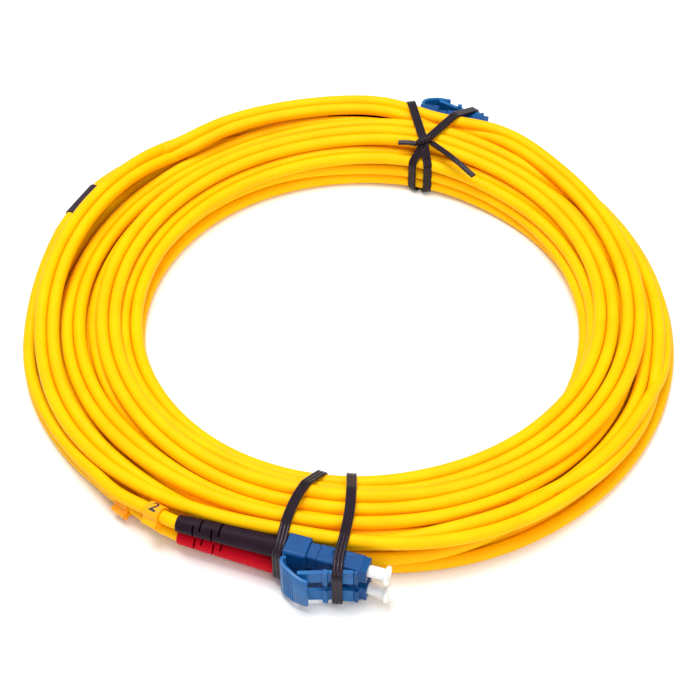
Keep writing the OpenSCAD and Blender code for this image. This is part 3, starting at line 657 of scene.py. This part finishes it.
class PATCHCORD_OT_stage(bpy.types.Operator):
    """Set the camera, the pale floor and the soft studio light"""
    bl_idname = "patchcord.stage"
    bl_label = "Stage"

    def execute(self, context):
        setting = context.scene.patchcord_stage
        scene = context.scene
        scene.view_settings.view_transform = "Standard"
        camera = bpy.data.objects.new("camera", bpy.data.cameras.new("camera"))
        scene.collection.objects.link(camera)
        set_all(camera.data, lens=setting.lens, sensor_width=36.0, shift_x=-1 / 70,
                shift_y=-1 / 50, clip_start=0.01)
        tip = math.radians(setting.elevation)
        camera.location = (3.7 * MM, 1.8 * MM - setting.distance * math.cos(tip),
                           setting.distance * math.sin(tip))
        camera.rotation_euler = (math.pi / 2 - tip, 0, 0)
        scene.camera = camera

        bm = bmesh.new()
        bmesh.ops.create_grid(bm, x_segments=1, y_segments=1, size=4.0)
        mesh = bpy.data.meshes.new("floor")
        bm.to_mesh(mesh)
        bm.free()
        floor = bpy.data.objects.new("floor", mesh)
        floor.location = (0, 0, -0.00005)
        scene.collection.objects.link(floor)
        paper = bpy.data.materials.new("matt white paper sweep")
        paper.use_nodes = True
        surface = paper.node_tree.nodes["Principled BSDF"].inputs
        surface["Base Color"].default_value = linear("#FFFFFF")
        surface["Roughness"].default_value = 1.0
        surface["Specular IOR Level"].default_value = 0.0
        mesh.materials.append(paper)

        world = bpy.data.worlds.new("soft studio")
        scene.world = world
        world.use_nodes = True
        tree = world.node_tree
        back = tree.nodes["Background"]
        path = add_node(tree, "ShaderNodeLightPath")
        # seen straight, mirrored or through something it is white, and it lights the part less
        seen = path.outputs["Is Camera Ray"]
        for kind in ("Is Glossy Ray", "Is Transmission Ray"):
            seen = add_node(tree, "ShaderNodeMath", {"operation": "MAXIMUM"},
                            {0: seen, 1: path.outputs[kind]}).outputs[0]
        level = add_node(tree, "ShaderNodeMapRange", {"To Min": 0.31, "To Max": 1.0},
                         {"Value": seen})
        back.inputs["Color"].default_value = (1, 1, 1, 1)
        tree.links.new(level.outputs["Result"], back.inputs["Strength"])

        for name, place, size, power in (("key", (-0.12, 0.1, 0.8), 0.45, 6.6),
                                         ("fill", (0.25, -0.5, 0.5), 0.6, 2.6)):
            lamp = set_all(bpy.data.lights.new(name, "AREA"), size=size, energy=power)
            light = bpy.data.objects.new(name, lamp)
            light.location = place
            light.rotation_euler = (-Vector(place)).to_track_quat("-Z", "Y").to_euler()
            scene.collection.objects.link(light)
        return {"FINISHED"}


# ================= plugs =================
class PlugSettings(bpy.types.PropertyGroup):
    blue: bpy.props.StringProperty(name="Plug colour", description="Hex colour of the plugs",
                                   default="#0A4A84")
    black: bpy.props.StringProperty(name="Upper boot", description="Hex colour of the upper boots",
                                    default="#25131F")
    red: bpy.props.StringProperty(name="Lower boot", description="Hex colour of the lower boots",
                                  default="#CA041E")


class PATCHCORD_OT_plugs(bpy.types.Operator):
    """Finish the clips, rear bodies, housings, latches, ferrules and springs of the four plugs"""
    bl_idname = "patchcord.plugs"
    bl_label = "Plugs"

    def execute(self, context):
        setting = context.scene.patchcord_plug
        # moulded PBT: dense blue with a low satin shine
        blue = plastic("moulded blue PBT", ("#07417A", setting.blue), 5.0, 0.3, 0.25, 0.008,
                       Specular_IOR_Level=0.2)
        # latches and triggers: the same moulding, with its blue painted a shade lighter for the
        # light that shines through where the part is slim
        painted_lighter_blue = plastic("moulded blue PBT, thin", ("#125A98", "#1A66A4"), 4.0, 0.3, 0.25, 0.008,
                       Specular_IOR_Level=0.25)
        # zirconia: white, hard and polished
        ceramic = plastic("polished zirconia ceramic", ("#F3F1EA", "#F8F7F2"), 2.0, 0.12, 0.1,
                          0.001)
        # spring steel and nickel-plated brass: bright drawn and turned metal
        steel = plastic("drawn spring steel", ("#B9BDC1", "#C6CACD"), 1.0, 0.28, 0.1, 0.002,
                        Metallic=1.0)
        nickel = plastic("nickel-plated crimp", ("#C6C6C2", "#D2D2CE"), 2.0, 0.3, 0.2, 0.004,
                         Metallic=1.0)
        for end in ENDS:
            faired(f"{end}_duplex_clip", f"{end}_clip", blue, "cord", 0.16)
            for plug in PLUGS:
                root = f"{end}_{plug}"
                faired(f"{root}_housing", f"{root}_front_housing", blue, "cord", 0.12)
                faired(f"{root}_rear_body", f"{root}_rear_housing", blue, "cord", 0.1)
                # the latch arms take the blue painted a shade lighter
                faired(f"{root}_latch", f"{root}_latch_arm", painted_lighter_blue, f"{root}_latch", 0.1,
                               20)
                for part, material in (("ferrule", ceramic), ("spring", steel),
                                       ("crimp_sleeve", nickel)):
                    mesh = frame["nodes"][f"{root}_{part}"].data
                    mesh.materials.clear()
                    mesh.materials.append(material)
        # the triggers take the blue painted a shade lighter
        for end in (NEAR, FAR):
            self.trigger(end, painted_lighter_blue)
        return {"FINISHED"}

    def trigger(self, end, material):
        line = rounded(np.array(TRIGGER_LINE) + TRIGGER_PIVOT, 4)
        way = np.gradient(line, axis=0)
        way /= np.linalg.norm(way, axis=1)[:, None]
        side = np.c_[-way[:, 1], way[:, 0]]
        outline = np.vstack([line + side * TRIGGER_T / 2, (line - side * TRIGGER_T / 2)[::-1]])
        bm = bmesh.new()
        plate = bm.faces.new([bm.verts.new((x, y, -TRIGGER_W / 2)) for x, y in outline])
        grown = bmesh.ops.extrude_face_region(bm, geom=[plate])["geom"]
        moved = [g for g in grown if isinstance(g, bmesh.types.BMVert)]
        bmesh.ops.translate(bm, vec=(0, 0, TRIGGER_W), verts=moved)
        # it narrows towards its front lip
        for vert in bm.verts:
            vert.co.z *= 1.03 - 0.18 * float(eased((vert.co.x - 1.0) / 6.0))
        bmesh.ops.recalc_face_normals(bm, faces=bm.faces)
        sharp = [e for e in bm.edges if e.calc_face_angle(0) > math.radians(50)]
        bmesh.ops.bevel(bm, geom=sharp, offset=0.14, segments=2, profile=0.5, affect="EDGES",
                        material=-1)
        # grip ribs across the plate, and the hinge roll at the clip
        rolls = [(line[at] + side[at] * TRIGGER_T / 2, 0.17, 1.2, 10) for at in range(12, 21, 2)]
        for (x, y), radius, short, segments in rolls + [(TRIGGER_PIVOT, 0.5, 0.3, 24)]:
            bmesh.ops.create_cone(bm, cap_ends=True, segments=segments, radius1=radius,
                                  radius2=radius, depth=TRIGGER_W - short,
                                  matrix=Matrix.Translation((x, y, 0)))
        piece = new_piece(f"{ENDS[end]}_trigger_plate", bm, pair_place(end), material,
                          f"{ENDS[end]}_trigger", 30)
        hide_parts(f"{ENDS[end]}_trigger")


class PATCHCORD_OT_boots(bpy.types.Operator):
    """Turn the four strain-relief boots with their flex slits"""
    bl_idname = "patchcord.boots"
    bl_label = "Boots"

    def execute(self, context):
        setting = context.scene.patchcord_plug
        # soft moulded elastomer: dull, with a fine spark-eroded grain
        finishes = [plastic(f"moulded {plug} elastomer", (deep, light), 3.0, 0.5, 0.3, grain,
                            Specular_IOR_Level=0.08)
                    for plug, deep, light, grain in (("black", "#1E0F1B", setting.black, 0.03),
                                                     ("red", "#BC0018", setting.red, 0.02))]
        outer = [(-0.25, 2.05), (-0.3, 2.2), (-0.5, 2.32), (-0.8, 2.35), (-6.0, 2.32),
                 (-12.0, 2.22), (-18.0, 2.1), (-24.6, 1.97), (-25.0, 1.92), (-25.22, 1.82),
                 (-25.3, 1.7)]
        bore = [(-25.3, 1.55), (-5.6, 1.55), (-4.9, 2.0), (-0.25, 2.0)]
        for end in (NEAR, FAR):
            for up, plug, finish in zip(UP, PLUGS, finishes):
                bm = bmesh.new()
                spun(bm, outer + bore, 40)
                lean = Matrix.Rotation(math.radians(-BOOT_CLOSE * plug_side(end, up)), 4, "Y")
                place = plug_place(end, up) @ lean
                name = f"{ENDS[end]}_{plug}_boot"
                piece = new_piece(name + "_sleeve", bm, place, finish, "cord", 30)
                # slits from either side by turns
                slits = bmesh.new()
                tilt = Matrix.Rotation(math.radians(43.3), 4, "X")
                block = Matrix.Diagonal((0.45, 4.4, 6.0, 1.0))
                for back, side in ((4.0, 1.6), (5.6, -1.6), (8.4, 1.6), (10.1, -1.6)):
                    spot = Matrix.Translation((-BOOT_L + back + 0.22, side, 0))
                    bmesh.ops.create_cube(slits, size=1.0, matrix=tilt @ spot @ block)
                cut_away(piece, slits, place)
                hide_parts(name)
        return {"FINISHED"}


class PATCHCORD_OT_caps(bpy.types.Operator):
    """Turn the four soft dust caps over the ferrules"""
    bl_idname = "patchcord.caps"
    bl_label = "Dust caps"

    def execute(self, context):
        # moulded polyethylene: milky white that lets a little light into its edges
        milky = plastic("milky moulded polyethylene", ("#F1F1EE", "#F7F7F5"), 2.0, 0.38, 0.2,
                        0.008, Subsurface_Weight=0.25, Subsurface_Scale=0.6 * MM)
        mouth, nose, flange = NOSE_X - 2.4, CAP_END - 0.8, 2.15
        profile = [(mouth, CAP_R), (nose - 0.25, CAP_R), (nose - 0.06, 1.5), (nose, 1.75),
                   (nose, flange - 0.15), (nose + 0.08, flange - 0.04), (nose + 0.2, flange),
                   (CAP_END - 0.2, flange), (CAP_END - 0.08, flange - 0.04),
                   (CAP_END, flange - 0.15), (CAP_END, 1.1), (CAP_END - 0.05, 1.02),
                   (CAP_END - 0.2, 1.0), (CAP_END - 0.2, 0.0)]
        bore = [(TIP_X + 0.2, 0.0), (TIP_X + 0.2, FERRULE_BORE_R), (mouth, FERRULE_BORE_R)]
        for end in (NEAR, FAR):
            for up, plug in zip(UP, PLUGS):
                bm = bmesh.new()
                spun(bm, profile + bore, 36)
                bmesh.ops.remove_doubles(bm, verts=bm.verts, dist=1e-4)
                root = f"{ENDS[end]}_{plug}_dust_cap"
                piece = new_piece(root + "_shell", bm, plug_place(end, up), milky, root, 40)
                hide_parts(root)
        return {"FINISHED"}


# ================= markers and sleeves =================
class PATCHCORD_OT_markers(bpy.types.Operator):
    """Finish the numbered cable markers and the split sleeves"""
    bl_idname = "patchcord.markers"
    bl_label = "Markers and sleeves"

    def execute(self, context):
        # moulded acetal ring: warm amber yellow with a waxy shine
        amber = plastic("moulded amber acetal", ("#FFA200", "#FFAE06"), 3.0, 0.35, 0.3, 0.01,
                        Specular_IOR_Level=0.25)
        # hot-stamped figures: matt black foil pressed into the ring
        foil = plastic("hot-stamped black figure", ("#1B1718", "#262022"), 1.0, 0.6, 0.2, 0.004)
        # heat-shrunk polyolefin: near black, drawn tight, with faint lengthwise flow
        shrunk = plastic("heat-shrunk polyolefin", ("#2A1F2B", "#332634"), 2.5, 0.55, 0.5, 0.03,
                         Specular_IOR_Level=0.15)
        for end in (NEAR, FAR):
            for up, plug, figure in zip(UP, PLUGS, ("2", "1")):
                root = f"{ENDS[end]}_{plug}_marker"
                faired(root, root + "_ring", amber, root, 0.12)
                self.figure(end, up, plug, figure, foil)
            self.sleeve(end, shrunk)
        return {"FINISHED"}

    def sleeve(self, end, shrunk):
        """A tube drawn tight round the two strands, one over the other."""
        outline = [(1.9 * math.cos(a), up * STRAND_RISE + 1.9 * math.sin(a))
                   for up, low in ((1, 0), (-1, math.pi))
                   for a in np.linspace(low, low + math.pi, 13)]
        heading = Matrix.Rotation(math.radians(SLEEVE_AT[end][0] + 90), 4, "Z")
        middle = Matrix.Translation(polar(SLEEVE_AT[end]).tolist()) @ heading
        ends = ((-1, 0.9), (-0.98, 0.97), (-0.94, 1), (0.94, 1), (0.98, 0.97), (1, 0.9))
        frames = [middle @ Matrix.Translation((along * SLEEVE_L / 2, 0, 0))
                  @ Matrix.Diagonal((1, draw, draw, 1)) for along, draw in ends]
        bm = bmesh.new()
        swept(bm, outline, frames, False)
        piece = new_piece(f"{ENDS[end]}_shrink_sleeve", bm, in_frame(), shrunk, "cord", 40)
        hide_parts(f"{ENDS[end]}_split_sleeve")

    def figure(self, end, up, plug, figure, foil):
        """A plain figure on the top of a marker, read along the strand."""
        along = exit_dir(end, up)
        centre = tail_start(end, up) + along * marker_back(up)
        words = set_all(bpy.data.curves.new("figure", "FONT"), body=figure, size=3.7, offset=0.1,
                        align_x="CENTER", align_y="CENTER", extrude=0.02, resolution_u=6)
        holder = bpy.data.objects.new("figure", words)
        bpy.context.scene.collection.objects.link(holder)
        mesh = evaluated(holder)
        bpy.data.objects.remove(holder)
        bm = bmesh.new()
        bm.from_mesh(mesh)
        bmesh.ops.remove_doubles(bm, verts=bm.verts, dist=1e-4)
        long_edges = [e for e in bm.edges if e.calc_length() > 0.3]
        bmesh.ops.subdivide_edges(bm, edges=long_edges, cuts=2)
        bmesh.ops.triangulate(bm, faces=bm.faces)
        # wrapped on the ring
        for vert in bm.verts:
            x, y, z = vert.co
            a = -y / MARKER_R
            vert.co = (x, -math.sin(a) * (MARKER_R + z), math.cos(a) * (MARKER_R + z))
        # on the near end its right-hand side points back towards the plug
        right = Vector(-along if end == NEAR else along).normalized()
        out = (Vector((0, 0, 1)) - right * right.z).normalized()
        turn = Matrix((right, out.cross(right), out)).transposed().to_4x4()
        place = in_frame(Matrix.Translation(centre.tolist()) @ turn)
        root = f"{ENDS[end]}_{plug}_marker"
        piece = new_piece(root + "_figure", bm, place, foil, root, 40)


# ================= ties =================
class TieSettings(bpy.types.PropertyGroup):
    width: bpy.props.FloatProperty(name="Tie width", description="Width of the flat coated tie",
                                   default=2.3 * MM, unit="LENGTH")
    colour: bpy.props.StringProperty(name="Tie colour", description="Hex colour of the coating",
                                     default="#1E0A1C")


def tie_outline(width, thick):
    """Half-round ridges over the wires, on a thin web."""
    w, t = width / 2, thick / 2
    top = [(k * w * 0.66 + 0.34 * w * math.cos(a), t * (0.35 + 0.65 * math.sin(a)))
           for k in (1, 0, -1) for a in map(math.radians, (20, 60, 90, 120, 160))]
    return top + [(x, -y) for x, y in reversed(top)]


def strand_discs(start, heading, reach):
    """Where the strands cross a tie's plane, as (along, height, radius)."""
    across = np.array((-heading[1], heading[0]))
    discs = []
    for line in laid.values():
        p = line / MM - COIL_CENTRE
        side = (p[:, :2] - start) @ across
        for j in np.nonzero(np.sign(side[:-1]) != np.sign(side[1:]))[0]:
            f = side[j] / (side[j] - side[j + 1])
            q = p[j] * (1 - f) + p[j + 1] * f
            along = (q[:2] - start) @ heading
            if -4 < along < reach:
                way = p[j + 1] - p[j]
                slant = abs(way[:2] @ across) / np.linalg.norm(way)
                discs.append((along, q[2], STRAND_D / 2 / max(slant, 0.9)))
    return discs


def wrapped(discs, room, steps):
    """The tight loop round a set of discs: its points and its outward directions."""
    discs = np.array(discs)
    points = []
    for a in np.linspace(0, math.tau, steps, endpoint=False):
        out = np.array((math.cos(a), math.sin(a)))
        best = discs[np.argmax(discs[:, :2] @ out + discs[:, 2])]
        points.append(best[:2] + out * (best[2] + room))
    points = np.array(points)
    # even steps, then eased round the corners and kept off the strands
    ring = np.vstack([points, points[:1]])
    run = np.r_[0, np.cumsum(np.linalg.norm(np.diff(ring, axis=0), axis=1))]
    even = np.linspace(0, run[-1], steps, endpoint=False)
    points = np.c_[np.interp(even, run, ring[:, 0]), np.interp(even, run, ring[:, 1])]
    for again in range(60):
        points += 0.4 * ((np.roll(points, 1, 0) + np.roll(points, -1, 0)) / 2 - points)
        way = points[:, None] - discs[None, :, :2]
        far = np.linalg.norm(way, axis=2)
        into = np.clip(discs[None, :, 2] + room - far, 0, None)
        worst = into.argmax(1)
        rows = np.arange(steps)
        points += way[rows, worst] / far[rows, worst, None] * into[rows, worst, None]
    way = np.roll(points, -1, 0) - np.roll(points, 1, 0)
    outs = np.c_[way[:, 1], -way[:, 0]] / np.linalg.norm(way, axis=1)[:, None]
    return points, outs


def ribbon_frames(points, outs):
    """Frames for a ribbon along a line, each with its flat side facing out."""
    points = [Vector(p) for p in points]
    frames = []
    for i, (point, out) in enumerate(zip(points, outs)):
        way = (points[min(i + 1, len(points) - 1)] - points[max(i - 1, 0)]).normalized()
        out = Vector(out)
        out = (out - way * out.dot(way)).normalized()
        across = out.cross(way).normalized()
        frames.append(Matrix.Translation(point) @ Matrix((way, across, out)).transposed().to_4x4())
    return frames


class PATCHCORD_OT_ties(bpy.types.Operator):
    """Wrap the front and rear twist ties round the bundle and the plugs"""
    bl_idname = "patchcord.ties"
    bl_label = "Twist ties"

    def execute(self, context):
        setting = context.scene.patchcord_tie
        if not laid:
            raise RuntimeError("lay the strands before the ties")
        # PVC-coated wire tie: dark plum, glossy along its ridges
        coated = plastic("PVC-coated wire tie", ("#14060F", setting.colour), 2.5, 0.22, 0.6, 0.02,
                         Specular_IOR_Level=0.2)
        outline = tie_outline(setting.width / MM, TIE_T)
        for end, name, knot in ((NEAR, "front_tie", self.front_knot),
                                (FAR, "rear_tie", self.rear_knot)):
            bm = bmesh.new()
            knot(bm, [self.loop(bm, outline, end, k) for k in (0, 1)])
            piece = new_piece(name + "_wrap", bm, in_frame(), coated, "cord", 50)
            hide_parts(name)
        return {"FINISHED"}

    def loop(self, bm, outline, end, k):
        """One pass of a tie, tight round the strands and the plugs; says where and how it runs."""
        tie_pass = TIE_PASSES[end][k]
        start, reach = pass_start(end, tie_pass)
        heading = direction(tie_pass[1])
        discs = strand_discs(start, heading, reach + (1, -2.5)[k])
        half = PLUG_PITCH / 2
        slant = float(heading @ out_dir(end))
        # round the two boots, or round the corners of the two housings
        corners = ((1.9 / slant, 1.85, 0.45), (3.9 / slant, 1.1, 0.5)) if k else ((0, 0, 2.42),)
        discs += [(reach + past, PAIR_Z + up * (half + high), radius)
                  for past, high, radius in corners for up in UP]
        flat, outs = wrapped(discs, 0.38, 96)
        points = []
        for u, z in flat:
            bow = math.sin(math.pi * min(max(u / reach, 0), 1)) * float(eased((z - 2) / 6))
            aside = TIE_BOWS[end][k] * bow
            points.append((start[0] + u * heading[0] - aside * heading[1],
                           start[1] + u * heading[1] + aside * heading[0], max(z, 0.4)))
        ways = [(o[0] * heading[0], o[0] * heading[1], o[1]) for o in outs]
        # a closed loop: its neighbours run on over the seam
        frames = ribbon_frames(points[-1:] + points + points[:1], ways[-1:] + ways + ways[:1])
        swept(bm, outline, frames[1:-1], True)
        return start, heading, np.array(points)

    def front_knot(self, bm, loops):
        """Low in front of the bundle, with its ends standing up between the plugs."""
        out, drop = np.array((0.0, 1.0, 0.0)), np.array((0.0, 0.0, 1.0))
        feet = [points[np.argmin(points[:, :2] @ heading)] for _, heading, points in loops]
        feet = [np.array((foot[0], foot[1], 2.4)) for foot in feet]
        middle = (feet[0] + feet[1]) / 2 + out
        axis = (feet[1] - feet[0]) / np.linalg.norm(feet[1] - feet[0])

        def ends(s, first, last):
            if s == 0:
                return ([feet[0], feet[0] * 0.5 + first * 0.5],
                        [last + axis * 1.2 + out * 0.6,
                         middle + axis * 3.6 + out * 3.0 - drop * 0.6])
            return ([middle - axis * 3.8 + out * 3.2 - drop * 1.2, first - axis * 1.2 + out * 0.6],
                    [feet[1] * 0.5 + last * 0.5, feet[1]])

        self.twist(bm, middle, axis, out, 4.6, ends)

    def rear_knot(self, bm, loops):
        """On top where the two passes cross, with a long and a short free end."""
        (p, d, _), (q, e, _) = loops
        cross = p + ((q - p)[0] * e[1] - (q - p)[1] * e[0]) / (d[0] * e[1] - d[1] * e[0]) * d
        near = [z for _, _, points in loops for x, y, z in points
                if np.hypot(x - cross[0], y - cross[1]) < 2.5]
        middle = np.array((cross[0], cross[1], min(max(near) + 0.2, 14.6)))
        out = np.array((0.0, 0.0, 1.0))
        long, short = np.append(direction(-50), 0.0), np.append(direction(172), 0.0)

        def ends(s, first, last):
            if s == 0:
                return [], [last + long * run + out * rise
                            for run, rise in ((1.2, 0.0), (8.0, 0.2), (17.0, -0.6))]
            return [first + short * run + out * rise
                    for run, rise in ((5.2, -0.2), (2.6, 0.1), (0.9, 0.0))], []

        self.twist(bm, middle, np.append(direction(20), 0.0), out, 3.2, ends)

    def twist(self, bm, middle, axis, out, length, ends):
        """Two ribbons wound round each other, between what ends() says."""
        outline = tie_outline(TIE_NARROW, TIE_T)
        side = np.cross(axis, out)
        for s in (0, 1):
            spiral, rays = [], []
            for t in np.linspace(0, 1, 25):
                a = math.pi * (s + 3 * t)
                rays.append(math.cos(a) * out + math.sin(a) * side)
                spiral.append(middle + axis * (t - 0.5) * length + rays[-1] * 0.5)
            before, after = ends(s, spiral[0], spiral[-1])
            line = rounded(before + spiral + after, 4)
            turn = rounded([out] * len(before) + rays + [out] * len(after), 4)
            swept(bm, outline, ribbon_frames(line, turn), False)


# ================= panel and main =================
class PATCHCORD_PT_panel(bpy.types.Panel):
    """Builds the patch cord piece by piece"""
    bl_idname = "PATCHCORD_PT_panel"
    bl_label = "Patch cord"
    bl_space_type = "VIEW_3D"
    bl_region_type = "UI"
    bl_category = "Patch cord"

    def draw(self, context):
        for setting, _ in SETTINGS:
            group = getattr(context.scene, setting)
            box = self.layout.box()
            for name in group.bl_rna.properties.keys():
                if name not in ("rna_type", "name"):
                    box.prop(group, name)
        for operator in OPERATORS:
            self.layout.operator(operator.bl_idname)


OPERATORS = (PATCHCORD_OT_stage, PATCHCORD_OT_cords, PATCHCORD_OT_plugs, PATCHCORD_OT_boots,
             PATCHCORD_OT_caps, PATCHCORD_OT_markers, PATCHCORD_OT_ties, PATCHCORD_OT_join)
SETTINGS = (("patchcord_cord", CordSettings), ("patchcord_plug", PlugSettings),
            ("patchcord_tie", TieSettings), ("patchcord_stage", StageSettings))


def register():
    for name, group in SETTINGS:
        bpy.utils.register_class(group)
        setattr(bpy.types.Scene, name, bpy.props.PointerProperty(type=group))
    for operator in OPERATORS:
        bpy.utils.register_class(operator)
    bpy.utils.register_class(PATCHCORD_PT_panel)


def unregister():
    bpy.utils.unregister_class(PATCHCORD_PT_panel)
    for operator in reversed(OPERATORS):
        bpy.utils.unregister_class(operator)
    for name, group in reversed(SETTINGS):
        delattr(bpy.types.Scene, name)
        bpy.utils.unregister_class(group)


def main():
    register()
    bpy.ops.patchcord.stage()
    bpy.ops.patchcord.cords()
    bpy.ops.patchcord.plugs()
    bpy.ops.patchcord.boots()
    bpy.ops.patchcord.caps()
    bpy.ops.patchcord.markers()
    bpy.ops.patchcord.ties()
    bpy.ops.patchcord.join()


if __name__ == "__main__":
    main()
